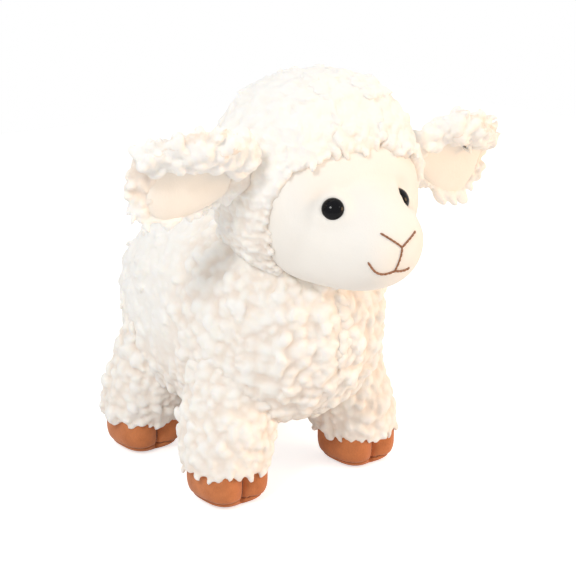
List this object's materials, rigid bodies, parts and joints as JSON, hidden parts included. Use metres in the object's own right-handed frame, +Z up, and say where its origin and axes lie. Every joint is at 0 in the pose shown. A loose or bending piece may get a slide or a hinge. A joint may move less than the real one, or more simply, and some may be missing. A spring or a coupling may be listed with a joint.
{
  "type": "plush sheep",
  "caption": "Standing stuffed toy sheep with curly wool fabric, a smooth face with bead eyes and stitched mouth, floppy ears and soft cloven hooves.",
  "frame": {"origin": "on the ground, under the middle of the toy's bounding box", "axes": "+Z up; the nose points along -Y; the sheep's own left side is +X"},
  "size_m": [0.2292, 0.2313, 0.224],
  "materials": {
    "wool": "matte",
    "velboa": "matte",
    "lining": "matte",
    "hoof": "matte",
    "thread": "matte",
    "fibre": "matte",
    "eye": "gloss",
    "washer": "matte"
  },
  "bodies": {
    "torso": {"body_stuffing": "fibre", "belly_panel": "wool", "body_panel_left": "wool", "body_panel_right": "wool", "head_stuffing": "fibre", "hood_crown": "wool", "hood_left": "wool", "hood_right": "wool", "face_panel": "velboa", "eye_left": "eye", "eye_washer_left": "washer", "eye_right": "eye", "eye_washer_right": "washer", "nose_stitch": "thread", "philtrum_stitch": "thread", "mouth_stitch": "thread", "leg_sleeve_front_left": "wool", "leg_stuffing_front_left": "fibre", "hoof_upper_front_left": "hoof", "hoof_sole_front_left": "hoof", "hoof_cleft_stitch_front_left": "thread", "leg_sleeve_front_right": "wool", "leg_stuffing_front_right": "fibre", "hoof_upper_front_right": "hoof", "hoof_sole_front_right": "hoof", "hoof_cleft_stitch_front_right": "thread", "leg_sleeve_hind_left": "wool", "leg_stuffing_hind_left": "fibre", "hoof_upper_hind_left": "hoof", "hoof_sole_hind_left": "hoof", "hoof_cleft_stitch_hind_left": "thread", "leg_sleeve_hind_right": "wool", "leg_stuffing_hind_right": "fibre", "hoof_upper_hind_right": "hoof", "hoof_sole_hind_right": "hoof", "hoof_cleft_stitch_hind_right": "thread"},
    "ear_left": {"ear_outer_left": "wool", "ear_lining_left": "lining"},
    "ear_right": {"ear_outer_right": "wool", "ear_lining_right": "lining"},
    "tail": {"tail_upper": "wool", "tail_lower": "wool"}
  },
  "joints": [
    {"name": "ear_left_flop", "type": "hinge", "parent": "torso", "child": "ear_left", "pos_m": [0.05342, -0.0575, 0.179], "axis": [0, -1, 0], "range_deg": [-30, 45], "stiffness_Nm_per_rad": 0.05},
    {"name": "ear_right_flop", "type": "hinge", "parent": "torso", "child": "ear_right", "pos_m": [-0.05342, -0.0575, 0.179], "axis": [0, 1, 0], "range_deg": [-45, 30], "stiffness_Nm_per_rad": 0.05},
    {"name": "tail_lift", "type": "hinge", "parent": "torso", "child": "tail", "pos_m": [0, 0.09454, 0.108], "axis": [1, 0, 0], "range_deg": [0, 45], "stiffness_Nm_per_rad": 0.05}
  ]
}
